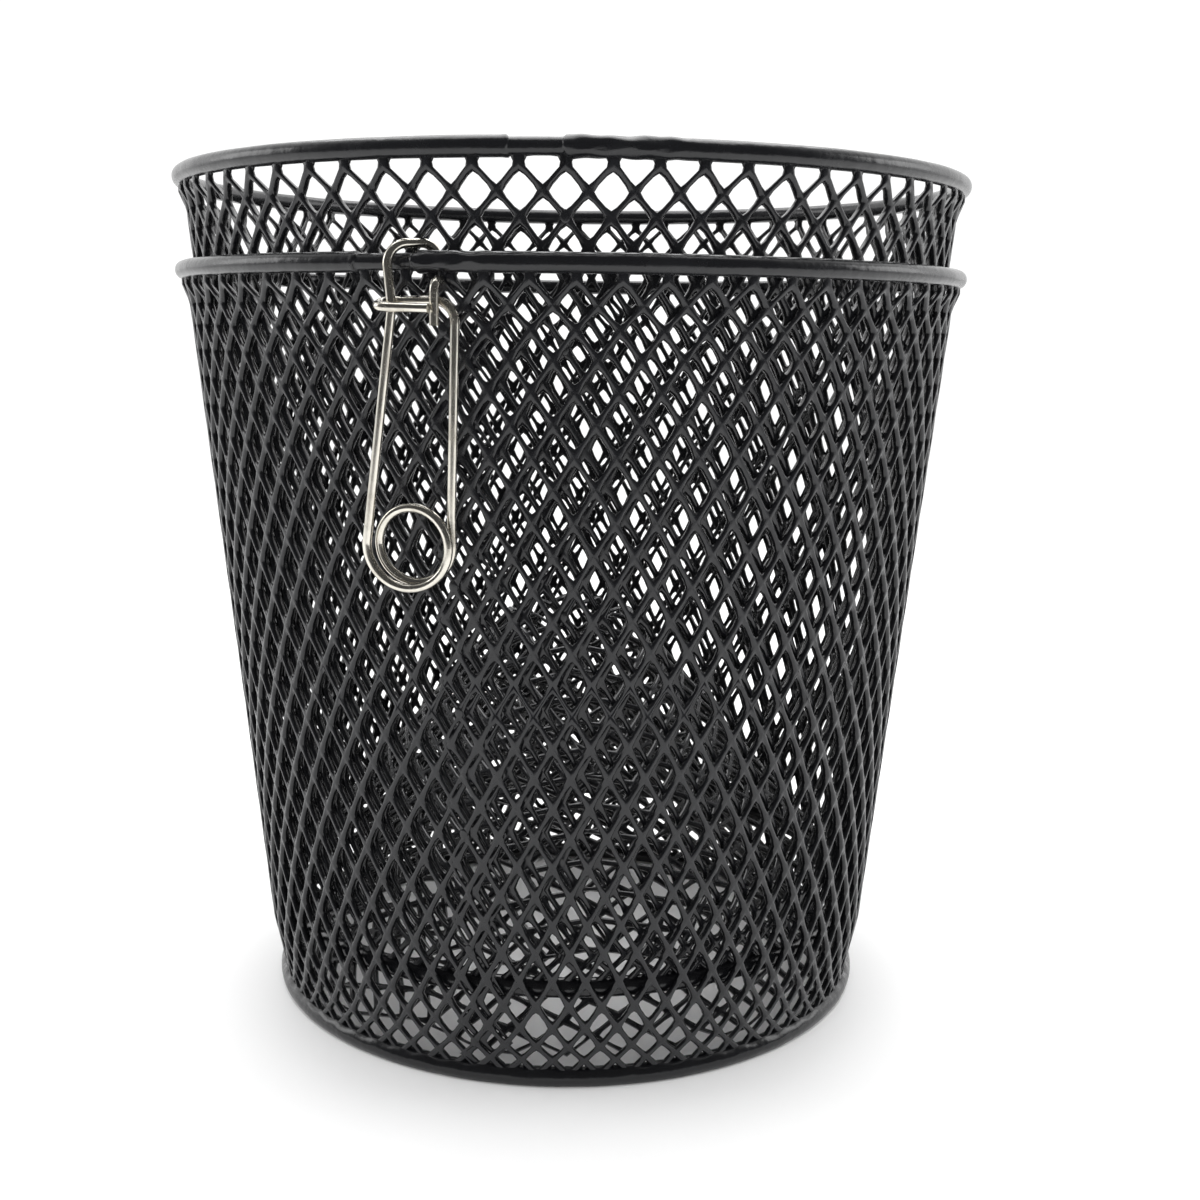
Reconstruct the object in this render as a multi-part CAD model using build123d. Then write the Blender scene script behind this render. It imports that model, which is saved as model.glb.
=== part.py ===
from build123d import *
import math
import os

# Two-piece minnow and crawfish trap, stored with one half nested in the other.
# Each half is a tapered cup of vinyl-dipped expanded steel: a wall with a welded lap seam, a rolled
# rim, a rolled base ring and an entry funnel that rises inside from the base. A sprung wire clip
# hangs on the outer half's rim. Z is the common axis, the base ring rests on Z = 0, and azimuth is
# counted in degrees from the front (-Y) towards +X. Millimetres.

# One half of the trap
rim_diameter = 228.6            # over the rim's tube
rim_tube = 5.0                  # outside diameter of the rolled rim
rim_height = 212.6              # centre of the rim's tube above its own base
base_diameter = 180.7           # over the base ring
base_tube = 5.4                 # outside diameter of the rolled base ring
base_land = 0.1                 # depth of the flat that the ring has worn where it stands
binding_gauge = 0.6             # sheet of both rolled bindings
hoop_wire = 3.0                 # wire hoop inside each binding
mesh_depth = 2.1                # expanded strands, front to back
edge_gauge = 0.9                # flattened mesh edge, where a binding grips it
grip_clearance = 0.2            # round the flattened edges in their slots
wall_slack = 0.35               # between the rim's tube and the nested wall

# Nesting
wall_gap = 0.44                 # radial gap between the two nested walls
foot_step = 0.3                 # base ring's reach past the foot of the wall's straight line
neck_room = 3.5                 # a nested base ring stands at least this far above the neck

# Entry funnel
funnel_throat = 33.0            # clear diameter of the throat
funnel_height = 88.0            # throat above the base
funnel_depth = 2.0              # strands of the funnel, front to back

# Lap seam of the wall, and the rim binding's own lap
seam_lap = 9.0                  # width of the doubled mesh
seam_gap = 0.1                  # between its two layers
weld_count = 7
weld_diameter = 3.2
rim_lap_swell = 0.3             # extra radius of the tube where the binding laps over itself
outer_turn = -14.0              # azimuth of the outer half's lap seam
inner_turn = 2.5                # azimuth of the inner half's lap seam
outer_rim_lap = 30.0            # length of the outer binding's lap, along the rim
inner_rim_lap = 41.0
outer_rim_lap_azimuth = -18.5
inner_rim_lap_azimuth = 3.0

# Wire clip, hung on the outer half's rim
clip_azimuth = -18.6
clip_tilt = 4.2                 # degrees that the clip leans in towards the wall
clip_wire = 2.2
clip_clearance = 0.2            # round the rim's tube
coil_diameter = 18.3            # mean diameter of the spring coil
coil_gap = 0.2                  # between neighbouring turns of the coil
coil_drop = 65.9                # coil's centre below the rim's tube
coil_offset = -2.5              # coil's centre to the left of the hook
coil_ease = 2.2                 # the left leg joins the coil this far outside its turns
hook_span = 5.7                 # half the distance between the hook's two sides
stub_drop = 14.0                # cut end of the hook below the rim's tube
hairpin_gap = 0.5               # clear of the wires it closes round
hairpin_slack = 2.3             # latch bar clear of the wire that crosses under the rim
window_clearance = 1.9          # mesh opening round the hook's wire
swing_side = 5.2                # how far left of the hook's middle its wire passes as it swings

rim_radius = (rim_diameter - rim_tube) / 2
base_radius = (base_diameter - base_tube) / 2
base_height = base_tube / 2 - base_land
clip_radius = rim_radius + rim_lap_swell            # the clip hangs where the binding is lapped
hook_radius = (rim_tube + clip_wire) / 2 + rim_lap_swell + clip_clearance
coil_pitch = clip_wire + coil_gap
hairpin_drop = hook_radius + clip_wire + hairpin_slack      # latch bar below the rim's tube
hoop_lift = rim_tube / 2 - binding_gauge - grip_clearance - hoop_wire / 2

# The wall leans out from its foot, inside the base ring, so that a half can nest and stop at its rim
wall_foot = base_diameter / 2 - foot_step
nested_top = rim_radius - rim_tube / 2 - wall_slack
wall_taper = (nested_top - wall_foot + mesh_depth + wall_gap) / rim_height
straight_low = 4 * base_tube
nest_offset = max((mesh_depth + wall_gap) / wall_taper, straight_low + neck_room)


def wall_radius(height):
    """Outer radius of the straight tapered wall at a height above its own base."""
    return wall_foot + wall_taper * height


def around(azimuth):
    """Turns a piece that was made at +X to an azimuth."""
    return Rot(Z=azimuth - 90)


def on_section(radius, height, shape):
    """Places a flat shape in the radial section."""
    return Plane.XZ * Pos(radius, height) * shape


def ring(section, start=0.0, arc=360.0):
    """Revolves a radial section about Z from a start azimuth."""
    return around(start) * revolve(section, axis=Axis.Z, revolution_arc=arc)


# The wall's stations from foot to rim: height, inner radius and outer radius
wall_top = rim_height + hoop_lift - hoop_wire / 2 - 1.5 * grip_clearance
foot_edge = base_radius + (grip_clearance + edge_gauge) / 2
foot_top = base_tube + 0.8
neck_height = 2.4 * base_tube
straight_high = rim_height - 8.5
wall_stations = [
    (base_height + hoop_wire / 2 + grip_clearance, foot_edge - edge_gauge / 2, foot_edge + edge_gauge / 2),
    (foot_top, foot_edge - edge_gauge / 2, foot_edge + edge_gauge / 2),
    (neck_height, wall_foot - mesh_depth + 0.6, wall_foot + 0.2),
    (straight_low, wall_radius(straight_low) - mesh_depth, wall_radius(straight_low)),
    (straight_high, wall_radius(straight_high) - mesh_depth, wall_radius(straight_high)),
    (rim_height - 4.0, rim_radius - edge_gauge / 2, rim_radius + edge_gauge / 2),
    (wall_top, rim_radius - edge_gauge / 2, rim_radius + edge_gauge / 2),
]


def wall_section(inner_share, outer_share):
    """The wall's radial section between two shares of its thickness, 0 inside to 1 outside."""
    inside = [(r0 + inner_share * (r1 - r0), z) for z, r0, r1 in wall_stations]
    outside = [(r0 + outer_share * (r1 - r0), z) for z, r0, r1 in wall_stations]
    return Plane.XZ * make_face(Polyline(*inside, *reversed(outside), close=True))


def weld_places(azimuth):
    """Where the seam's spot welds sit: one location each, its Z axis pointing outwards."""
    places = []
    for index in range(weld_count):
        height = straight_low + (straight_high - straight_low) * (index + 0.5) / weld_count
        places.append(around(azimuth) * Pos(wall_radius(height) - mesh_depth / 2, 0, height) * Rot(Y=90))
    return places


def window(azimuth, left, right, low, high):
    """A block across the wall, between two distances to the sides of an azimuth and two heights."""
    block = Box(6 * mesh_depth, right - left, high - low)
    return around(azimuth) * Pos(rim_radius - hook_radius, (left + right) / 2, (low + high) / 2) * block


def make_wall(azimuth, opening):
    """Tapered mesh wall, lapped over itself at the seam, with an opening for the clip's wire."""
    lap = math.degrees(seam_lap / wall_radius(rim_height))
    slit = lap / 12
    layer = (1 - seam_gap / mesh_depth) / 2
    start = azimuth + lap / 2
    wall = ring(wall_section(0, 1), start, 360 - lap)
    wall += ring(wall_section(1 - layer, 1), start - lap + slit, lap - slit)
    wall += ring(wall_section(0, layer), start - lap, lap - slit)
    for place in weld_places(azimuth):
        wall -= place * Cylinder(weld_diameter / 2 + seam_gap / 2, 4 * mesh_depth)
    return wall - opening


def make_welds(azimuth):
    """The seam's spot welds."""
    return [place * Cylinder(weld_diameter / 2, mesh_depth - seam_gap) for place in weld_places(azimuth)]


def tube_section(radius, height, swell=0.0):
    """Hollow section of the rim's binding, with its slot for the wall's edge underneath."""
    outside = on_section(radius + swell, height, Circle(rim_tube / 2 + swell))
    inside = on_section(radius, height, Circle(rim_tube / 2 - binding_gauge))
    slot_width = edge_gauge + 2 * grip_clearance
    slot = on_section(radius, height - rim_tube / 2, Rectangle(slot_width, rim_tube))
    return outside - inside - slot


def make_rim_binding(azimuth, lap_length):
    """Sheet strip rolled into a tube round the rim, with one end lapped over the other."""
    lap = math.degrees(lap_length / rim_radius)
    plain = ring(tube_section(rim_radius, rim_height), azimuth + lap / 2, 360 - lap)
    return plain + ring(tube_section(rim_radius, rim_height, rim_lap_swell), azimuth - lap / 2, lap)


def make_rim_hoop():
    return ring(on_section(rim_radius, rim_height + hoop_lift, Circle(hoop_wire / 2)))


def make_base_binding():
    """Sheet strip rolled round the base hoop and the two mesh edges, flat where it stands."""
    outside = on_section(base_radius, base_height, Circle(base_tube / 2))
    inside = on_section(base_radius, base_height, Circle(base_tube / 2 - binding_gauge))
    slot_width = 2 * edge_gauge + 3.5 * grip_clearance
    slot = on_section(base_radius, base_height + base_tube / 2, Rectangle(slot_width, base_tube))
    below = on_section(base_radius, -base_tube, Rectangle(2 * base_tube, 2 * base_tube))
    return ring(outside - inside - slot - below)


def make_base_hoop():
    return ring(on_section(base_radius, base_height - grip_clearance / 2, Circle(hoop_wire / 2)))


def make_funnel():
    """Cone of mesh that rises inwards from the base ring to the throat."""
    edge = base_radius - (grip_clearance + edge_gauge) / 2
    foot = (base_radius - 2.2, base_tube + 1.6)
    rise = funnel_height - foot[1]
    run = foot[0] - funnel_throat / 2 - 0.4 * funnel_depth
    length = math.hypot(rise, run)
    across = (rise / length * funnel_depth / 2, run / length * funnel_depth / 2)
    throat = (foot[0] - run, funnel_height)
    bottom = base_height + hoop_wire / 2 + grip_clearance
    outline = [
        (edge + edge_gauge / 2, bottom),
        (edge + edge_gauge / 2, base_tube + 1.0),
        (foot[0] + across[0], foot[1] + across[1]),
        (throat[0] + across[0], throat[1] + across[1]),
        (throat[0] - across[0], throat[1] - across[1]),
        (foot[0] - across[0], foot[1] - across[1]),
        (edge - edge_gauge / 2, base_tube - 0.4),
        (edge - edge_gauge / 2, bottom),
    ]
    return ring(Plane.XZ * make_face(Polyline(*outline, close=True)))


def wire_along(path):
    """Round clip wire swept along a path."""
    return sweep(Plane(origin=path @ 0, z_dir=path % 0) * Circle(clip_wire / 2), path=path)


# The clip's own frame: X to the right along the rim, Y in towards the wall, Z up, rim's tube at 0
front = -hook_radius
layer_step = clip_wire + hairpin_gap
coil_radius = coil_diameter / 2
coil_back = front + 1.5 * coil_pitch


def half_turn(start_depth, side, low, ease=0.0):
    """Half a coil turn that starts on one side (-1 left, 1 right) and passes the bottom or the top."""
    reach = math.hypot(coil_radius + ease / 2, coil_pitch / 4)
    middle = start_depth + coil_pitch / 4
    start = (coil_offset + side * (coil_radius + ease), start_depth, -coil_drop)
    half_way = (coil_offset + side * ease / 2, middle, -coil_drop - reach if low else -coil_drop + reach)
    end = (coil_offset - side * coil_radius, start_depth + coil_pitch / 2, -coil_drop)
    return ThreePointArc(start, half_way, end)


def make_clip_hook():
    """Left leg of the clip with the spring coil below it and the hook over the rim above it."""
    left = coil_offset - coil_radius - coil_ease
    route = [
        (left, front, -coil_drop),
        (left, front, -coil_drop + 0.5),
        (1.0 - hook_span, front, -10.0),
        (-hook_span, front, hook_radius),
        (2.5, -front, hook_radius),
        (hook_span, -front, -hook_radius),
        (hook_span + 0.3, front, -hook_radius),
        (hook_span - 0.1, front, -stub_drop),
    ]
    bends = [coil_radius / 2, 12.0, 4.8, 3.8, 3.4, 2.4]
    leg = wire_along(FilletPolyline(*route, radius=bends))
    turns = [half_turn(front, -1, True, coil_ease), half_turn(front + coil_pitch / 2, 1, False)]
    turns.append(half_turn(front + coil_pitch, -1, True))
    for turn in turns:
        leg += wire_along(turn)
    return leg


def make_clip_latch():
    """Right leg of the clip, bent over into the hairpin that closes round the hook's end."""
    right = coil_offset + coil_radius
    rear = front + layer_step
    closed_end = 0.6 - hook_span - layer_step
    route = [
        (right, coil_back, -coil_drop),
        (right, coil_back, -coil_drop + 6.0),
        (hook_span + 4.2, rear, -hairpin_drop),
        (closed_end, rear, -hairpin_drop - 0.2),
        (closed_end, front - layer_step, -hairpin_drop - 1.1),
        (hook_span - 0.1, front - layer_step, -hairpin_drop - 1.4),
    ]
    bends = [60.0, 4.6, 2.5, 2.5]
    return wire_along(FilletPolyline(*route, radius=bends))


def make_half(prefix, azimuth, rim_lap, rim_lap_azimuth, opening):
    """Every piece of one half, standing on Z = 0."""
    return {
        prefix + "_wall_mesh": make_wall(azimuth, opening),
        prefix + "_seam_welds": make_welds(azimuth),
        prefix + "_rim_hoop": make_rim_hoop(),
        prefix + "_rim_binding": make_rim_binding(rim_lap_azimuth, rim_lap),
        prefix + "_funnel_mesh": make_funnel(),
        prefix + "_base_hoop": make_base_hoop(),
        prefix + "_base_binding": make_base_binding(),
    }


# The hook's wire passes out under the outer rim, and lies in an opening of the nested wall
hook_side = hook_span + window_clearance + clip_wire / 2
under_rim = window(
    clip_azimuth, hook_side - 2 * window_clearance - clip_wire, hook_side,
    rim_height - hook_radius - clip_wire / 2 - window_clearance, rim_height + rim_tube,
)
nested_reach = (mesh_depth + clip_wire) / wall_taper / 2
behind_rim = window(
    clip_azimuth, -swing_side, hook_side,
    rim_height - nest_offset - nested_reach - hook_radius, rim_height - nest_offset + 2 * hook_radius,
)

pieces = make_half("outer", outer_turn, outer_rim_lap, outer_rim_lap_azimuth, under_rim)
for name, piece in make_half("inner", inner_turn, inner_rim_lap, inner_rim_lap_azimuth, behind_rim).items():
    lifted = [Pos(0, 0, nest_offset) * solid for solid in (piece if isinstance(piece, list) else [piece])]
    pieces[name] = lifted if isinstance(piece, list) else lifted[0]

clip_place = Rot(Z=clip_azimuth) * Pos(0, -clip_radius, rim_height) * Rot(X=clip_tilt)
pieces["clip_hook"] = clip_place * make_clip_hook()
pieces["clip_latch"] = clip_place * make_clip_latch()

os.makedirs("parts", exist_ok=True)
for name, piece in pieces.items():
    if isinstance(piece, list):
        piece = Compound(children=piece)
    export_step(piece, "parts/" + name + ".step")

coil_centre = clip_place * Pos(coil_offset, (front + coil_back) / 2, -coil_drop)
print("rim centre radius", rim_radius, "wall foot", round(wall_foot, 3))
print("clip pivot", [round(v, 4) for v in (clip_place.position / 1000)])
print("clip pivot axis", [round(v, 6) for v in (Plane(clip_place).x_dir * -1)])
print("coil centre", [round(v, 5) for v in (coil_centre.position / 1000)])
print("coil axis", [round(v, 6) for v in (Plane(clip_place).y_dir * -1)])
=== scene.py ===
# %% [markdown]
# # A two-piece minnow trap, nested for storage
# The trap is two equal cups of black vinyl-dipped expanded steel. One stands inside the other, and a
# bright sprung wire clip hangs on the outer one's rim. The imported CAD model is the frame: it gives
# every place and size, and the pieces made here ride on its bodies.

# %% Load the frame
import math

import bpy
import numpy as np
from mathutils import Matrix, Vector


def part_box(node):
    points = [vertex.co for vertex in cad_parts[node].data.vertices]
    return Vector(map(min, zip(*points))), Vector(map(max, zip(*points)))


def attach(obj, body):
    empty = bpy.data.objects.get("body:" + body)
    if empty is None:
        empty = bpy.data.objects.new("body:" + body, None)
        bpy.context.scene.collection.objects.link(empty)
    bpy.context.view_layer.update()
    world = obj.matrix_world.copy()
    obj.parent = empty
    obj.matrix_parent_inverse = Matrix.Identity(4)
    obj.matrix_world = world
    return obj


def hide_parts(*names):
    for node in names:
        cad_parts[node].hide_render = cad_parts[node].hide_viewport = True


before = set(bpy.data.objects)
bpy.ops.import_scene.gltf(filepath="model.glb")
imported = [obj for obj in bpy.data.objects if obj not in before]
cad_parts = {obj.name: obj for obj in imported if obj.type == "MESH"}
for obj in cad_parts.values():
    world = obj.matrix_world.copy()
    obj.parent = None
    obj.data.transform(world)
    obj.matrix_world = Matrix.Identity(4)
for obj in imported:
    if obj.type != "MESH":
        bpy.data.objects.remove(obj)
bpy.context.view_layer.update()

# %% [markdown]
# ## Sizes taken from the frame
# The two halves are alike, so their lattice is worked out once, on its own base, and lifted for the
# inner half. The rim's and the base ring's centres come from the boxes of their nodes. What the boxes
# can't give, such as the depth of a strand, is written here once.

# %% Sizes
rim_low, rim_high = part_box("outer_rim_hoop")
base_low, base_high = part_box("outer_base_binding")
inner_low, inner_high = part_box("inner_rim_hoop")
NEST = inner_high.z - rim_high.z                    # inner half above the outer one
RIM_R = (rim_high.x - rim_low.x) / 2 - 0.0015       # centre line of the rim's tube
RIM_Z = (rim_high.z + rim_low.z) / 2 - 0.0002
RING_R = (base_high.x - base_low.x) / 2 - 0.0027    # centre line of the base ring
RING_Z = base_high.z - 0.0027
TAPER = 0.100847                                    # radius gained per height
FOOT_R = 0.09005                                    # outside of the wall, run down to the floor
DEPTH = 0.0021                                      # strand, front to back
STRAND = 0.0014                                     # strand, across its front
HALVES = {"outer": 0.0, "inner": NEST}
print("rim centre", round(RIM_R, 5), round(RIM_Z, 5), "ring centre", round(RING_R, 5), round(RING_Z, 5))
print("nest offset", round(NEST, 5))

# %% [markdown]
# ## Camera
# A product shot from a little above, close enough for strong perspective: the camera stands level with
# the rims and looks down ten degrees. Its matrix is built from its own right, up and forward
# directions, because that is easier to check than three chained angles.

# %% Camera
def camera_matrix(place, pitch, yaw, roll):
    """Right, up and backward as columns: yaw turns about Z, pitch tips down, roll turns the picture."""
    forward = Vector((math.sin(yaw) * math.cos(pitch), math.cos(yaw) * math.cos(pitch), -math.sin(pitch)))
    right = Vector((math.cos(yaw), -math.sin(yaw), 0.0))
    up = right.cross(forward)
    turned_right = right * math.cos(roll) + up * math.sin(roll)
    turned_up = up * math.cos(roll) - right * math.sin(roll)
    columns = Matrix((turned_right, turned_up, -forward)).transposed().to_4x4()
    columns.translation = place
    return columns


lens = bpy.data.cameras.new("camera")
lens.lens = 45.06
lens.sensor_width = 36.0
lens.clip_start = 0.02
camera = bpy.data.objects.new("camera", lens)
camera_turns = [math.radians(degrees) for degrees in (10.36, 1.16, 0.71)]
camera.matrix_world = camera_matrix((0.0, -0.4577, 0.1988), *camera_turns)
bpy.context.scene.collection.objects.link(camera)
bpy.context.scene.camera = camera
print("camera at", tuple(round(v, 3) for v in camera.location))

# %% [markdown]
# ## Light
# The backdrop is white and the scene is lit evenly from it. Reflections see something else: a dark room
# in front of the object and white behind it, so that the glossy strands and wires get dark fronts and
# thin white edges. One broad lamp hangs overhead and two soft ones stand at the sides. The Standard
# view transform keeps the backdrop white.

# %% World, lamps and floor
def area_lamp(name, place, target, size, power):
    """Square lamp at a place, facing a target point."""
    data = bpy.data.lights.new(name, "AREA")
    data.shape = "SQUARE"
    data.size = size
    data.energy = power
    lamp = bpy.data.objects.new(name, data)
    lamp.location = place
    lamp.rotation_euler = (Vector(target) - Vector(place)).to_track_quat("-Z", "Y").to_euler()
    bpy.context.scene.collection.objects.link(lamp)
    return lamp


def build_tent(tree):
    """White backdrop and light; reflections see a dark room in front of the object and white behind it."""
    backdrop = tree.nodes["Background"]
    room = tree.nodes.new("ShaderNodeBackground")
    room.inputs["Strength"].default_value = 1.0
    direction = tree.nodes.new("ShaderNodeTexCoord")
    parts = tree.nodes.new("ShaderNodeSeparateXYZ")
    shade = tree.nodes.new("ShaderNodeMapRange")
    shade.interpolation_type = "SMOOTHSTEP"
    for socket, value in (("From Min", -0.35), ("From Max", 0.55), ("To Min", 0.05), ("To Max", 1.4)):
        shade.inputs[socket].default_value = value
    seen = tree.nodes.new("ShaderNodeLightPath")
    blend = tree.nodes.new("ShaderNodeMixShader")
    backdrop.inputs["Color"].default_value = (1.0, 1.0, 1.0, 1.0)
    backdrop.inputs["Strength"].default_value = 1.1
    tree.links.new(direction.outputs["Generated"], parts.inputs[0])
    tree.links.new(parts.outputs["Y"], shade.inputs["Value"])
    tree.links.new(shade.outputs["Result"], room.inputs["Color"])
    tree.links.new(seen.outputs["Is Glossy Ray"], blend.inputs[0])
    tree.links.new(backdrop.outputs[0], blend.inputs[1])
    tree.links.new(room.outputs[0], blend.inputs[2])
    tree.links.new(blend.outputs[0], tree.nodes["World Output"].inputs["Surface"])


bpy.context.scene.view_settings.view_transform = "Standard"
world = bpy.data.worlds.new("studio")
world.use_nodes = True
build_tent(world.node_tree)
bpy.context.scene.world = world
area_lamp("lamp_top", (0.0, 0.25, 1.1), (0.0, 0.0, 0.1), 1.0, 9.0)
area_lamp("lamp_left", (-1.0, 0.1, 0.5), (0.0, 0.0, 0.12), 0.5, 2.0)
area_lamp("lamp_right", (1.0, 0.1, 0.5), (0.0, 0.0, 0.12), 0.5, 2.0)

# %% [markdown]
# ## Writing shader maths
# A small class wraps a number socket and overloads the arithmetic signs, so a mask reads as a formula.
# Every other node comes from one method, which sets the node's own settings first and then its sockets.

# %% Shader helpers
class Number:
    """A number socket. Adding, subtracting, multiplying or dividing it writes a Math node."""

    def __init__(self, finish, socket):
        self.finish = finish
        self.socket = socket

    def maths(self, operation, first, second):
        return self.finish.node("ShaderNodeMath", {"operation": operation}, {0: first, 1: second}, 0)

    def __add__(self, other):
        return self.maths("ADD", self, other)

    def __radd__(self, other):
        return self.maths("ADD", other, self)

    def __sub__(self, other):
        return self.maths("SUBTRACT", self, other)

    def __rsub__(self, other):
        return self.maths("SUBTRACT", other, self)

    def __mul__(self, other):
        return self.maths("MULTIPLY", self, other)

    def __rmul__(self, other):
        return self.maths("MULTIPLY", other, self)

    def clamped(self, low=0.0, high=1.0):
        return self.maths("MINIMUM", self.maths("MAXIMUM", self, low), high)


class Finish:
    """A material under construction: its shader, its coordinates and one way to add nodes."""

    def __init__(self, name, **sockets):
        self.material = bpy.data.materials.new(name)
        self.material.use_nodes = True
        self.tree = self.material.node_tree
        self.shader = self.tree.nodes["Principled BSDF"]
        for socket, value in sockets.items():
            self.shader.inputs[socket.replace("_", " ")].default_value = value
        self.place = self.node("ShaderNodeTexCoord", {}, {}, "Object")

    def node(self, kind, settings, inputs, output):
        """Adds a node, sets its settings, then each socket to a value or a link, and returns one output."""
        made = self.tree.nodes.new(kind)
        for setting, value in settings.items():
            setattr(made, setting, value)
        for socket, value in inputs.items():
            if isinstance(value, Number):
                self.tree.links.new(value.socket, made.inputs[socket])
            else:
                made.inputs[socket].default_value = value
        return Number(self, made.outputs[output])

    def noise(self, scale, detail=3.0, rough=0.55, at=None):
        """Cloudy noise between about 0.3 and 0.7, with scale features to the metre."""
        sockets = {"Vector": at or self.place, "Scale": scale, "Detail": detail, "Roughness": rough}
        return self.node("ShaderNodeTexNoise", {}, sockets, 0)

    def stretched(self, x, y, z):
        """Object coordinates multiplied along each axis."""
        return self.node("ShaderNodeMapping", {}, {"Vector": self.place, "Scale": (x, y, z)}, 0)

    def step(self, value, low, high):
        """Smooth step from 0 at low to 1 at high."""
        sockets = {"Value": value, "From Min": low, "From Max": high}
        return self.node("ShaderNodeMapRange", {"interpolation_type": "SMOOTHSTEP"}, sockets, "Result")

    def mixed(self, factor, first, second):
        """Two colours mixed by a factor."""
        return self.node("ShaderNodeMix", {"data_type": "RGBA"}, {0: factor, 6: first, 7: second}, 2)

    def drive(self, socket, value):
        self.tree.links.new(value.socket, self.shader.inputs[socket])

    def bump(self, height, distance, strength=1.0):
        """Feeds a Bump node into Normal."""
        sockets = {"Height": height, "Distance": distance, "Strength": strength}
        self.drive("Normal", self.node("ShaderNodeBump", {}, sockets, "Normal"))


# %% [markdown]
# ## Finishes
# The vinyl coating is one dip of near-black plastisol. It is glossy where it ran over edges and in the
# openings, and duller on the fronts. The fronts are also painted a little paler and blue-grey: a painted
# sheen that stands in for the grey reflection those faces show. Cloudy patches and specks add random
# dusty tone. Each lattice carries an attribute called front, 1 on the faces that look outwards, so that
# the painted sheen follows the strands. Fine orange peel and slow waves in the coat come from noise,
# through a bump.

# %% Vinyl of the mesh and of the bindings
def vinyl(name, gloss, dull, painted_sheen, dark, pale, waves):
    """Coated steel: roughness from gloss to dull and colour from dark to pale, by a painted sheen on the
    outward faces and random dusty patches.
    """
    coat = Finish(name, IOR=1.5, Specular_IOR_Level=0.5)
    front = coat.node("ShaderNodeAttribute", {"attribute_name": "front"}, {}, "Fac")
    cloud = coat.noise(70.0, 4.0)
    specks = coat.noise(1500.0, 2.0)
    patches = coat.step(cloud, 0.45, 0.75) * 0.25 + coat.step(specks, 0.6, 0.75) * 0.12
    # Painted sheen: faces weighted by the front attribute are painted paler and duller; the noise patches
    # add random dusty tone.
    sheen_and_dust = (front * painted_sheen + patches).clamped()
    coat.drive("Base Color", coat.mixed(sheen_and_dust, dark, pale))
    coat.drive("Roughness", (sheen_and_dust * (dull - gloss) + gloss + cloud * 0.06).clamped())
    peel = coat.noise(900.0, 2.0)
    wave = coat.noise(160.0, 2.0)
    coat.bump(peel * 0.35 + wave * waves, 0.00012)
    return coat.material


# SLATE is the paler colour, reached by the painted sheen on the fronts and by the dusty patches.
NIGHT = (0.0035, 0.0036, 0.0042, 1.0)
SLATE = (0.0115, 0.012, 0.0145, 1.0)
vinyl_mesh = vinyl("vinyl_mesh", 0.12, 0.30, 0.6, NIGHT, SLATE, 1.0)
vinyl_tube = vinyl("vinyl_binding", 0.16, 0.32, 0.5, NIGHT, SLATE, 2.2)
print("vinyl finishes", vinyl_mesh.name, vinyl_tube.name)

# %% [markdown]
# The clip is bright drawn wire. Drawing leaves fine lines along the wire and the plating has faint
# warm and dark clouds. The hoops inside the bindings are plain mild steel and stay hidden.

# %% Steel of the clip and of the hoops
def steel(name, colour, shade, rough, lines):
    """Bright wire: streaks that run mostly up and down, clouds of duller metal and a few dark specks."""
    metal = Finish(name, Metallic=1.0)
    streak = metal.noise(900.0, 3.0, 0.6, metal.stretched(1.0, 1.0, 0.06))
    cloud = metal.noise(140.0, 3.0)
    dull = metal.step(cloud, 0.45, 0.72)
    speck = metal.step(metal.noise(2200.0, 2.0), 0.66, 0.76)
    metal.drive("Base Color", metal.mixed((dull * 0.6 + speck * 0.5).clamped(), colour, shade))
    metal.drive("Roughness", (dull * 0.1 + streak * 0.12 + rough + speck * 0.2).clamped())
    metal.bump(streak, lines)
    return metal.material


clip_steel = steel("clip_steel", (0.72, 0.69, 0.62, 1.0), (0.40, 0.37, 0.31, 1.0), 0.12, 0.00003)
hoop_steel = steel("hoop_steel", (0.42, 0.42, 0.43, 1.0), (0.2, 0.17, 0.15, 1.0), 0.34, 0.00003)
print("steel finishes", clip_steel.name, hoop_steel.name)

# %% [markdown]
# ## Turning arrays into pieces
# A piece is an array of points and an array of four-cornered faces. Points that fall together are
# welded in numpy before the mesh is made, so that a lattice put together from hundreds of openings
# is one closed skin.

# %% Mesh helpers
def weld(points, faces):
    """Gives points that share a place, to a tenth of a micron, one number."""
    keys, first, back = np.unique(np.round(points, 7), axis=0, return_index=True, return_inverse=True)
    return points[first], back.reshape(-1)[faces], first


def make_piece(name, points, faces, body, material, front=None, crease=None):
    """A smooth mesh from arrays, with its material and body. Edges over crease degrees stay sharp."""
    mesh = bpy.data.meshes.new(name)
    mesh.from_pydata(points.tolist(), [], faces.tolist())
    mesh.polygons.foreach_set("use_smooth", np.ones(len(mesh.polygons), bool))
    if crease:
        mesh.set_sharp_from_angle(angle=math.radians(crease))
    # The front attribute carries each point's share of the painted sheen on the vinyl.
    if front is not None:
        mesh.attributes.new("front", "FLOAT", "POINT").data.foreach_set("value", front.astype(np.float32))
    mesh.materials.append(material)
    mesh.update()
    piece = bpy.data.objects.new(name, mesh)
    bpy.context.scene.collection.objects.link(piece)
    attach(piece, body)
    print(name, "-", len(points), "points,", 2 * len(faces), "triangles")
    return piece


# %% [markdown]
# ## The wall's own surface
# The wall is a straight taper, with a short neck at each end where the mesh was flattened for its
# binding. Its middle radius and half its depth are read off between stations. At the seam the sheet
# laps over itself: its first end lies outside, its last end inside, each squeezed to half the depth.

# %% Wall profile
def outside_radius(height):
    return FOOT_R + TAPER * height


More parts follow.
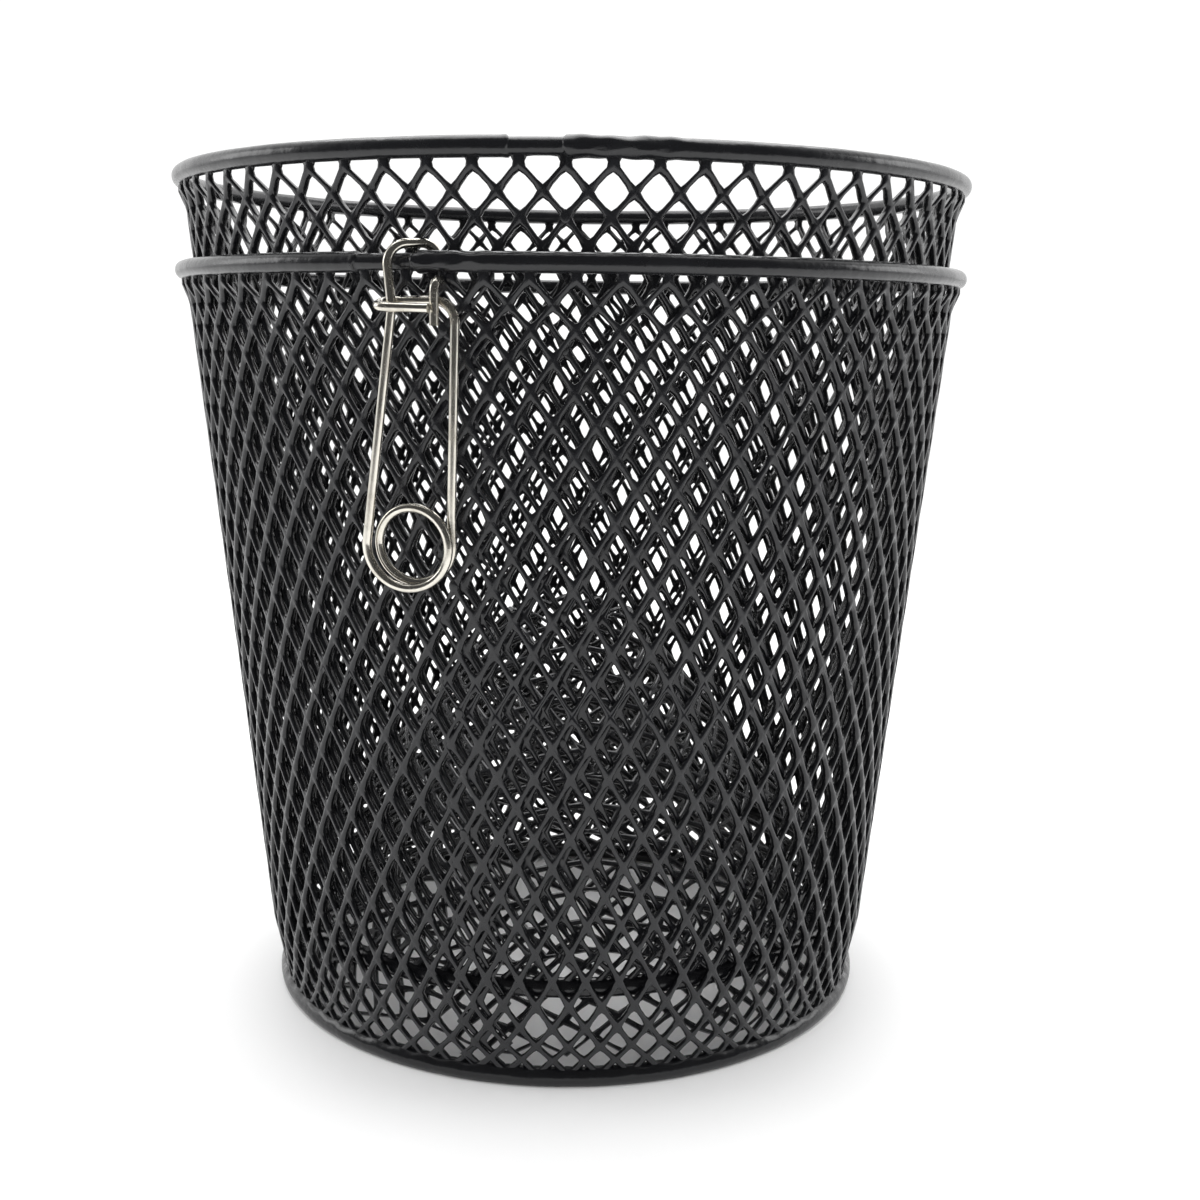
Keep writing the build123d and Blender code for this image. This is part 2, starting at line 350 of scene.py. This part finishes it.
STATION_Z = np.array([0.0, 0.0062, 0.01296, 0.0216, 0.2041, 0.2086, 0.2141])
STATION_R = np.array([0.0882, 0.0882, 0.0894, 0.0, 0.0, 0.1118, 0.1118])
STATION_R[3:5] = outside_radius(STATION_Z[3:5]) - DEPTH / 2
STATION_D = np.array([0.0007, 0.0008, 0.00095, 0.00105, 0.00105, 0.0008, 0.0007])


def smooth(x):
    """Smooth step: 0 below 0, 1 above 1."""
    x = np.clip(x, 0.0, 1.0)
    return x * x * (3 - 2 * x)


def wall_point(turn, height, depth, lift, ends):
    """Place on the wall: turn in degrees, height above its own base, depth from -1 (inside) to 1."""
    radius = np.interp(height, STATION_Z, STATION_R)
    half = np.interp(height, STATION_Z, STATION_D)
    first = 1 - smooth((turn - ends[0] - 5.0) / 4.0)
    last = smooth((turn - ends[1] + 9.0) / 4.0)
    squeeze = 1 - 0.48 * np.maximum(first, last)
    radius = radius + half * 0.5 * (first - last) + half * squeeze * depth
    angle = np.radians(turn)
    return np.stack([radius * np.sin(angle), -radius * np.cos(angle), height + lift], axis=-1)


print("wall radius at the floor, half way and rim:", [round(outside_radius(z), 4) for z in (0.0, 0.1, 0.2)])

# %% [markdown]
# ## One opening of expanded mesh
# Expanded metal is a sheet slit in rows and stretched. The metal left between four slits is a knuckle,
# and strands join the knuckles. Here each opening is one cell of a lattice. The cell's outline runs
# along the middles of its four strands, and the hole's outline is that line moved in by half a strand,
# with the corners rounded by the knuckles. Seven rings lead from the strand's middle line over its
# rounded front and edge through the hole and round to the back: seventy-two faces to an opening. The
# cells share their outlines, so neighbours weld into whole strands.

# %% Cells of the lattice
EDGE = 0.33                                          # share of a strand's length taken by its knuckle
RINGS = np.array([
    (0.0, 1.0), (0.55, 0.93), (0.92, 0.55), (1.0, 0.0), (0.92, -0.55), (0.5, -0.95), (0.0, -1.0),
])
FRONT = np.array([1.0, 0.85, 0.3, 0.0, 0.0, 0.1, 0.2])    # how much of the painted sheen, paler and duller, each ring carries


def scatter(a, b, seed):
    """Repeatable scatter between -1 and 1 from two whole numbers: the sine of a large mixed angle."""
    return np.sin(a * 12.9898 + b * 78.233 + seed * 37.719) * np.cos(a * 4.1414 - b * 9.913 + seed)


def diamond(left, bottom, right, top):
    """Twelve points round a cell: each corner, and two on each strand, anticlockwise seen from outside."""
    sides = [(left, bottom), (bottom, right), (right, top), (top, left)]
    points = []
    for start, end in sides:
        points += [start, start + EDGE * (end - start), start + (1 - EDGE) * (end - start)]
    return np.stack(points, axis=1)


def hole_outline(outline, centre, scale, width, corner_x, corner_z):
    """The hole in a cell: corners drawn in to their shares, strand points moved in by half the width.
    scale is metres per degree of turn, so that widths are true on the cone."""
    local = outline - centre[:, None, :]
    local[..., 0] *= scale[:, None]
    hole = np.empty_like(local)
    for side in range(4):
        start, end = local[:, 3 * side], local[:, (3 * side + 3) % 12]
        along = end - start
        normal = np.stack([-along[:, 1], along[:, 0]], axis=-1)
        normal /= np.linalg.norm(normal, axis=1)[:, None]
        for k in (1, 2):
            hole[:, 3 * side + k] = local[:, 3 * side + k] + normal * (width / 2)[:, None]
        hole[:, 3 * side] = start * (corner_x if side % 2 == 0 else corner_z)[:, None]
    hole[..., 0] /= scale[:, None]
    return hole + centre[:, None, :]


def skin(outline, hole, place, lean=0.0):
    """Welded points, faces and painted sheen of cells: rings from outline to hole and back, open edges
    capped.
    """
    cells, around = outline.shape[:2]
    share = RINGS[None, :, None, 0, None]
    depth = np.broadcast_to(RINGS[None, :, None, 1], (cells, len(RINGS), around))
    flat = outline[:, None] + share * (hole - outline)[:, None]
    points = place(flat[..., 0], flat[..., 1] + lean * depth, depth).reshape(-1, 3)
    number = np.arange(len(points)).reshape(cells, len(RINGS), around)
    step = np.roll(number, -1, axis=2)
    faces = np.stack([number[:, :-1], step[:, :-1], step[:, 1:], number[:, 1:]], axis=-1).reshape(-1, 4)
    points, ids, first = weld(points, np.concatenate([faces.reshape(-1), number.reshape(-1)]))
    faces = ids[: faces.size].reshape(-1, 4)
    number = ids[faces.size:].reshape(cells, len(RINGS), around)
    step = np.roll(number, -1, axis=2)
    rim = np.stack([number[:, 0].ravel(), step[:, 0].ravel()], axis=1)
    back = np.stack([number[:, -1].ravel(), step[:, -1].ravel()], axis=1)
    _, where, count = np.unique(np.sort(rim, axis=1), axis=0, return_inverse=True, return_counts=True)
    alone = count[where.reshape(-1)] == 1
    caps = np.stack([rim[alone, 1], rim[alone, 0], back[alone, 0], back[alone, 1]], axis=1)
    # Each point's share of the painted sheen, taken from its ring.
    painted_sheen = np.broadcast_to(FRONT[None, :, None], (cells, len(RINGS), around)).reshape(-1)[first]
    return points, np.concatenate([faces, caps]), painted_sheen


# %% [markdown]
# ## Rows of the lattice
# The rows are spaced under six millimetres apart at the rim and eight in the middle of the wall, and they
# close up towards the base, where the cup was drawn in. The list is worked down from the knuckles
# under the rim until it reaches the base ring.

# %% Rows
STEP_Z = np.array([0.0, 0.008, 0.015, 0.020, 0.030, 0.040, 0.150, 0.170, 0.187, 0.194, 0.200, 0.215])
STEP = np.array([
    0.0034, 0.0042, 0.0060, 0.0065, 0.0075, 0.0081, 0.0081, 0.0076, 0.0075, 0.0068, 0.0057, 0.0056,
])
rows = [0.2088]
while rows[-1] > 0.0062:
    rows.append(rows[-1] - np.interp(rows[-1] - 0.003, STEP_Z, STEP))
ROWS = np.array(rows[::-1])
TOP = len(ROWS) - 1
print(len(ROWS), "rows of knuckles, from", round(ROWS[0], 4), "to", round(ROWS[-1], 4))


def knuckle(row, half_column, pitch, phase):
    """Turn in degrees and height of a knuckle, slightly uneven. Half columns count from the phase."""
    turn = phase + pitch * half_column / 2 + 0.07 * scatter(row, half_column, 1)
    inside = np.clip(row, 0, TOP).astype(int)
    height = ROWS[inside] + 0.00016 * scatter(row, half_column, 2) * (row < TOP) * (row > 0)
    return np.stack([turn, height], axis=-1)


def wall_cells(first_row, last_row, first_column, columns, pitch, phase, top_parity):
    """Outlines and holes of all whole diamonds whose middles lie on rows first_row to last_row."""
    row, column = np.meshgrid(np.arange(first_row, last_row + 1), np.arange(columns), indexing="ij")
    row, column = row.ravel(), column.ravel()
    centre_half = 2 * (first_column + column) + (row + top_parity + 1) % 2
    left = knuckle(row, centre_half - 1, pitch, phase)
    right = knuckle(row, centre_half + 1, pitch, phase)
    bottom = knuckle(row - 1, centre_half, pitch, phase)
    top = knuckle(row + 1, centre_half, pitch, phase)
    outline = diamond(left, bottom, right, top)
    centre = np.stack([phase + pitch * centre_half / 2, (left[:, 1] + right[:, 1]) / 2], axis=-1)
    scale = np.radians(np.interp(centre[:, 1], STATION_Z, STATION_R))
    low = 1 - smooth((centre[:, 1] - 0.008) / 0.05)
    width = STRAND * (1 + 0.10 * low + 0.05 * scatter(row, column, 3))
    hole = hole_outline(outline, centre, scale, width, 0.735 - 0.04 * low, 0.725 - 0.05 * low)
    return outline, hole


# %% [markdown]
# ## Stems under the rim and drops at the base
# Under the rim every knuckle sends a short thick stem up into the tube, so the top openings are
# rounded triangles with a flat top. At the base the last openings are half buried in the ring, and the
# coating has drawn them into small drops. Both rows use the same twelve points, put elsewhere.

# %% End rows
def stem_cells(first_column, columns, pitch, phase):
    """The row under the rim: a diamond below, upright sides along the stems, a flat top in the tube."""
    column = np.arange(columns)
    middle = 2 * (first_column + column) + 1
    left = knuckle(np.full(columns, TOP), middle - 1, pitch, phase)
    right = knuckle(np.full(columns, TOP), middle + 1, pitch, phase)
    bottom = knuckle(np.full(columns, TOP - 1), middle, pitch, phase)
    roof = 0.2116
    rise = roof - left[:, 1]
    outline = diamond(left, bottom, right, right)
    outline[:, 7] = right + np.stack([0 * rise, 0.5 * rise], axis=-1)
    outline[:, 8] = right + np.stack([0 * rise, rise], axis=-1)
    outline[:, 9] = (left + right) / 2 + np.stack([0 * rise, rise], axis=-1)
    outline[:, 10] = left + np.stack([0 * rise, rise], axis=-1)
    outline[:, 11] = left + np.stack([0 * rise, 0.5 * rise], axis=-1)
    centre = (left + right) / 2
    scale = np.full(columns, math.radians(0.111))
    width = np.full(columns, STRAND * 1.1)
    hole = hole_outline(outline.copy(), centre, scale, width, np.full(columns, 0.73), np.full(columns, 0.74))
    half = (right - left)[:, 0] / 2
    side = half - 0.00135 / math.radians(0.111)
    for index, sign in ((7, 1), (11, -1)):
        hole[:, index] = centre + np.stack([sign * side, 0.0006 + 0 * half], axis=-1)
    for index, sign in ((8, 1), (10, -1)):
        hole[:, index] = centre + np.stack([sign * (side - 0.25), 0.0016 + 0 * half], axis=-1)
    hole[:, 0] = centre + np.stack([-side + 0.12, -0.0006 + 0 * half], axis=-1)
    hole[:, 6] = centre + np.stack([side - 0.12, -0.0006 + 0 * half], axis=-1)
    hole[:, 9] = centre + np.stack([0 * half, 0.0020 + 0 * half], axis=-1)
    return outline, hole


def drop_cells(first_column, columns, pitch, phase, top_parity):
    """The row at the ring: its lower corner is buried, and the coating leaves only a drop-shaped hole."""
    column = np.arange(columns)
    middle = 2 * (first_column + column) + (top_parity + 1) % 2
    left = knuckle(np.zeros(columns), middle - 1, pitch, phase)
    right = knuckle(np.zeros(columns), middle + 1, pitch, phase)
    top = knuckle(np.ones(columns), middle, pitch, phase)
    bottom = np.stack([top[:, 0], np.full(columns, 0.0036)], axis=-1)
    outline = diamond(left, bottom, right, top)
    half = (right - left)[:, 0] / 2
    heart = np.stack([top[:, 0], np.full(columns, ROWS[0] + 0.0006)], axis=-1)
    turn = np.radians(np.array([180, 210, 240, 270, 300, 330, 0, 30, 60, 90, 120, 150]))
    size = 0.30 + 0.08 * scatter(column, column, 5)
    across = np.cos(turn)[None] * (half * size)[:, None]
    ring = np.stack([across, np.sin(turn)[None] * 0.0014 + 0 * half[:, None]], axis=-1)
    ring[:, 9, 1] += 0.0006
    return outline, heart[:, None] + ring


# %% [markdown]
# ## The two walls
# Each wall is built in two pieces, lower and upper, so that none grows too large. The sheet of the
# outer half starts and ends at its lap seam left of the front, and the inner one just right of it.

# %% Walls
SHEETS = {
    "outer": {"phase": 0.381, "pitch": 5.391, "first": -3, "columns": 68},
    "inner": {"phase": -0.976, "pitch": 5.456, "first": 0, "columns": 67},
}
PARITY = TOP % 2


def sheet_ends(sheet):
    """Turns at which a wall's sheet starts and ends."""
    start = sheet["phase"] + sheet["pitch"] * sheet["first"]
    end = sheet["phase"] + sheet["pitch"] * (sheet["first"] + sheet["columns"])
    return start, end


def build_wall(half):
    """The lower and upper piece of one half's wall."""
    sheet = SHEETS[half]
    ends = sheet_ends(sheet)
    place = lambda turn, height, depth: wall_point(turn, height, depth, HALVES[half], ends)
    span = (sheet["first"], sheet["columns"], sheet["pitch"], sheet["phase"])
    split = TOP // 2
    low_rows = zip(drop_cells(*span, PARITY), wall_cells(1, split, *span, PARITY))
    high_rows = zip(wall_cells(split + 1, TOP - 1, *span, PARITY), stem_cells(*span))
    lower = [np.concatenate(pair) for pair in low_rows]
    upper = [np.concatenate(pair) for pair in high_rows]
    for part, (outline, hole) in (("lower", lower), ("upper", upper)):
        points, faces, painted_sheen = skin(outline, hole, place, 0.00015)
        name = f"{half}_wall_{part}"
        piece = make_piece(name, points, faces, half + "_half", vinyl_mesh, painted_sheen)
        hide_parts(half + "_wall_mesh")


for half in HALVES:
    build_wall(half)

# %% [markdown]
# ## Entry funnels
# A funnel is a cone of the same mesh, rolled from a flat sector and lapped on itself. So its lattice is
# laid out flat, in the sheet before rolling, and each point is then wrapped: its distance from the
# sector's centre becomes distance down the slope, and its angle opens out to a full turn. Cells past
# the throat or the base ring are trimmed to the edge.

# %% Funnels
FUNNEL_TOP = np.array([0.0173, 0.0880])              # radius and height of the mid-line at the throat
FUNNEL_FOOT = np.array([0.08545, 0.0070])
slope = FUNNEL_FOOT - FUNNEL_TOP
SLANT = np.linalg.norm(slope)
OPENING = slope[0] / SLANT                            # radius gained per distance down the slope
THROAT_S = FUNNEL_TOP[0] / OPENING
FOOT_S = THROAT_S + SLANT
FUNNEL_HALF = 0.0010


def funnel_point(x, y, depth, lift, turn_offset):
    """Wraps a flat point: its distance from the centre runs down the slope, its angle goes round."""
    reach = np.hypot(x, y)
    turn = np.arctan2(x, y) / OPENING + math.radians(turn_offset)
    radius = reach * OPENING + FUNNEL_HALF * depth * (-slope[1] / SLANT)
    height = FUNNEL_TOP[1] + (reach - THROAT_S) * slope[1] / SLANT + FUNNEL_HALF * depth * OPENING
    return np.stack([radius * np.sin(turn), -radius * np.cos(turn), height + lift], axis=-1)


def funnel_cells(pitch_x, pitch_y):
    """Diamonds over the flat sector, trimmed at throat and foot, a little past the full turn as a lap."""
    row, column = np.meshgrid(np.arange(-30, 31), np.arange(-24, 25), indexing="ij")
    row, column = row.ravel(), column.ravel()
    centre = np.stack([(column + row % 2 / 2) * pitch_x, row * pitch_y / 2], axis=-1)
    reach, angle = np.hypot(*centre.T), np.arctan2(centre[:, 0], centre[:, 1])
    keep = (reach > THROAT_S + 0.002) & (reach < FOOT_S - 0.001) & (np.abs(angle) < math.pi * OPENING + 0.02)
    centre = centre[keep]
    across, up = np.array([pitch_x / 2, 0.0]), np.array([0.0, pitch_y / 2])
    corners = [centre - across, centre - up, centre + across, centre + up]
    trimmed = []
    for corner in corners:
        length = np.hypot(*corner.T)
        trimmed.append(corner * (np.clip(length, THROAT_S, FOOT_S) / length)[:, None])
    outline = diamond(*trimmed)
    middle = sum(trimmed) / 4
    ones = np.ones(len(centre))
    hole = hole_outline(outline, middle, ones, ones * STRAND, ones * 0.77, ones * 0.75)
    return outline, hole


def build_funnel(half, turn_offset):
    outline, hole = funnel_cells(0.0098, 0.0150)
    place = lambda x, y, depth: funnel_point(x, y, depth, HALVES[half], turn_offset)
    points, faces, painted_sheen = skin(outline, hole, place)
    piece = make_piece(f"{half}_funnel", points, faces, half + "_half", vinyl_mesh, painted_sheen)
    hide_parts(half + "_funnel_mesh")


build_funnel("outer", 150.0)
build_funnel("inner", 185.0)

# %% [markdown]
# ## Rolled rims
# A strip of sheet is rolled round a hoop and the mesh's edge, and its two ends lap. The tube is a
# circle carried round the rim, whose radius depends on the turn and on the angle round the tube:
# slightly larger under the upper strip, smaller on the bare under strip between the two ends, and
# crumpled where the strip was hammered round. The coating adds slow lumps.

# %% Rim tubes
def bumps(turn, round_, seed, slow, quick):
    """Slow and quick lumps of the coat: sums of sines in the turn and in the angle round the tube."""
    wide = np.sin(np.radians(turn) * 23 + seed) * np.sin(np.radians(turn) * 7 + 2 * round_ + seed)
    fine = np.sin(np.radians(turn) * 131 + 1.7 * round_ + 3 * seed)
    fine = fine * np.cos(np.radians(turn) * 83 - 2 * round_)
    return slow * wide + quick * fine


def crumple(turn, round_, seed):
    """Dents of a hammered strip, between -1 and 1."""
    a = np.sin(np.radians(turn) * 43 + 2.1 * round_ + seed)
    b = np.sin(np.radians(turn) * 101 - 1.3 * round_ + 2 * seed)
    return 0.6 * a * np.cos(round_ * 2 + seed) + 0.4 * b


def grid_faces(rows_, columns_):
    """Faces of a grid that closes on itself both ways."""
    i, j = np.meshgrid(np.arange(rows_), np.arange(columns_), indexing="ij")
    a, b = (i + 1) % rows_, (j + 1) % columns_
    corners = [i * columns_ + j, a * columns_ + j, a * columns_ + b, i * columns_ + b]
    return np.stack(corners, axis=-1).reshape(-1, 4)


def ring_points(turn, round_, tube, radius, height, sideways=0.0):
    """A tube carried round Z: out by its cosine and up by its sine."""
    reach = radius + tube * np.cos(round_)
    angle = np.radians(turn + sideways)
    return np.stack([reach * np.sin(angle), -reach * np.cos(angle), height + tube * np.sin(round_)], axis=-1)


def rim_tube(turn, round_, under_start, over_start, over_end, seed):
    """Radius of the rolled rim. The left strip stops at under_start, the over strip's end is at
    over_start with a rounded mouth, and its crumpled part runs out at over_end."""
    facing = np.cos(round_ - 0.35)
    mouth = over_start + 0.45 * (1 - facing)
    stop = under_start + 0.15 * np.sin(3 * round_)
    on_left = 1 - smooth((turn - stop) / 0.22)
    on_right = smooth((turn - mouth) / 0.30)
    lip = np.exp(-((turn - stop + 0.25) / 0.35) ** 2) * 0.00010
    lip = lip + np.exp(-((turn - mouth - 0.5) / 0.55) ** 2) * 0.00012
    tongue = on_right * (1 - smooth((turn - over_end + 1.5) / 3.0))
    tube = 0.00204 + 0.00042 * np.maximum(on_left, on_right) + 0.00022 * tongue
    dents = tongue * (0.00026 * crumple(turn, round_, seed) - 0.00018)
    return tube + lip + dents + bumps(turn, round_, seed, 0.00003, 0.000012)


def build_rim(half, under_start, over_start, over_end, seed):
    """One rim tube, with finer steps at its joint."""
    fine = np.arange(under_start - 2.0, over_end + 3.0, 0.09)
    rest = np.arange(over_end + 3.0, under_start - 2.0 + 360.0, 0.6)
    turns = np.concatenate([fine, rest])
    round_ = np.arange(32) * 2 * math.pi / 32
    turn, around = np.meshgrid(turns, round_, indexing="ij")
    near = np.where(turn > over_end + 100, turn - 360, turn)
    tube = rim_tube(near, around, under_start, over_start, over_end, seed)
    points = ring_points(turn, around, tube, RIM_R, RIM_Z + HALVES[half]).reshape(-1, 3)
    # Painted sheen: the tube's outer and inner sides are painted paler than its top and bottom.
    painted_sheen = (0.45 + 0.35 * np.cos(around) ** 2).reshape(-1)
    faces = grid_faces(len(turns), 32)
    piece = make_piece(f"{half}_rim", points, faces, half + "_half", vinyl_tube, painted_sheen)
    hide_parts(half + "_rim_binding")


build_rim("outer", -26.5, -19.1, -10.4, 1.3)
build_rim("inner", -7.6, -1.4, 12.8, 4.1)

# %% [markdown]
# ## Base rings
# The base ring is rolled the same way round the edges of the wall and the funnel. It is flat where it
# stands, and the dip ran down into it, so it is lumpier than the rim and thickened on top where the
# strands go in.

# %% Base rings
def build_ring(half, seed):
    """One base ring, flat where it stands and webbed on top between the strands."""
    turns = np.arange(0, 360, 0.4)
    round_ = np.arange(28) * 2 * math.pi / 28
    turn, around = np.meshgrid(turns, round_, indexing="ij")
    sheet = SHEETS[half]
    beat = np.cos(2 * math.pi * (turn - sheet["phase"]) / sheet["pitch"])
    web = np.exp(-((around - math.pi / 2 + 0.25) / 0.5) ** 2) * (0.00016 + 0.00022 * beat)
    tube = 0.00262 + web + bumps(turn, around, seed, 0.00004, 0.00003)
    points = ring_points(turn, around, tube, RING_R, RING_Z + HALVES[half])
    points[..., 2] = np.maximum(points[..., 2], HALVES[half])
    # Painted sheen: the ring's outer and inner sides are painted paler than its top and bottom.
    painted_sheen = (0.3 + 0.3 * np.cos(around) ** 2).reshape(-1)
    faces = grid_faces(len(turns), 28)
    points = points.reshape(-1, 3)
    piece = make_piece(f"{half}_ring", points, faces, half + "_half", vinyl_tube, painted_sheen)
    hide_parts(half + "_base_binding")


build_ring("outer", 0.7)
build_ring("inner", 2.9)

# %% [markdown]
# ## Seam welds
# The lap was spot-welded before the dip, so the welds show only as soft lumps on knuckles of the seam.
# Each is a flattened dome on the knuckle's front, with a closed back that stays inside the strand.

# %% Welds
def build_welds(half):
    """Seven flattened domes on knuckles of the seam."""
    sheet = SHEETS[half]
    ends = sheet_ends(sheet)
    chosen = np.arange(2, TOP, 4)[:7]
    half_column = 2 * sheet["first"] + (chosen + PARITY) % 2
    middles = knuckle(chosen, half_column, sheet["pitch"], sheet["phase"])
    ring, spoke = np.meshgrid(np.linspace(0.0, math.pi, 7), np.arange(12) * math.pi / 6, indexing="ij")
    x, z, out = np.sin(ring) * np.cos(spoke), np.sin(ring) * np.sin(spoke), np.cos(ring)
    turn = middles[:, 0, None, None] + 0.65 * x[None]
    height = middles[:, 1, None, None] + 0.0017 * z[None]
    depth = np.broadcast_to(0.75 + 0.55 * out[None], turn.shape)
    points = wall_point(turn, height, depth, HALVES[half], ends).reshape(len(chosen), -1, 3)
    i, j = np.meshgrid(np.arange(6), np.arange(12), indexing="ij")
    after = (j + 1) % 12
    one = np.stack([i * 12 + j, (i + 1) * 12 + j, (i + 1) * 12 + after, i * 12 + after], axis=-1)
    one = one.reshape(-1, 4)
    faces = (one[None] + (np.arange(len(chosen)) * 84)[:, None, None]).reshape(-1, 4)
    points, faces, first = weld(points.reshape(-1, 3), faces)
    # Painted sheen: the welds carry most of the pale, dull front colour.
    painted_sheen = np.full(len(points), 0.8)
    piece = make_piece(f"{half}_welds", points, faces, half + "_half", vinyl_mesh, painted_sheen)
    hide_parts(half + "_seam_welds")


for half in HALVES:
    build_welds(half)

# %% [markdown]
# ## Pieces kept from the frame
# The clip's two legs and the hidden hoops have their true shape already, so they keep their meshes and
# only get their finishes.

# %% Finishes of kept nodes
KEPT = {
    "clip_hook": clip_steel,
    "clip_latch": clip_steel,
    "outer_rim_hoop": hoop_steel,
    "inner_rim_hoop": hoop_steel,
    "outer_base_hoop": hoop_steel,
    "inner_base_hoop": hoop_steel,
}


def repaint(name, material):
    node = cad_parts[name]
    node.data.materials.clear()
    node.data.materials.append(material)


for name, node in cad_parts.items():
    repaint(name, KEPT.get(name, vinyl_mesh))
print("kept nodes", sorted(KEPT))

# %% [markdown]
# ## Floor
# A large pale sheet, slightly rough, with a very slow change of tone so that it isn't one flat colour.
# It starts a little in front of the object, so that the upright wires reflect the dark room there.

# %% Floor
paper = Finish("floor_paper", Roughness=0.6)
paper_tones = (0.94, 0.94, 0.94, 1.0), (0.96, 0.96, 0.96, 1.0)
paper.drive("Base Color", paper.mixed(paper.noise(3.0, 2.0), *paper_tones))
floor_mesh = bpy.data.meshes.new("floor")
floor_mesh.from_pydata([(-6, -0.55, 0), (6, -0.55, 0), (6, 6, 0), (-6, 6, 0)], [], [(0, 1, 2, 3)])
floor_mesh.materials.append(paper.material)
floor = bpy.data.objects.new("floor", floor_mesh)
bpy.context.scene.collection.objects.link(floor)
print("floor is 12 m wide and starts 0.55 m in front")

# %% [markdown]
# ## The end
# The view layer is updated once more.

# %% Finish
bpy.context.view_layer.update()
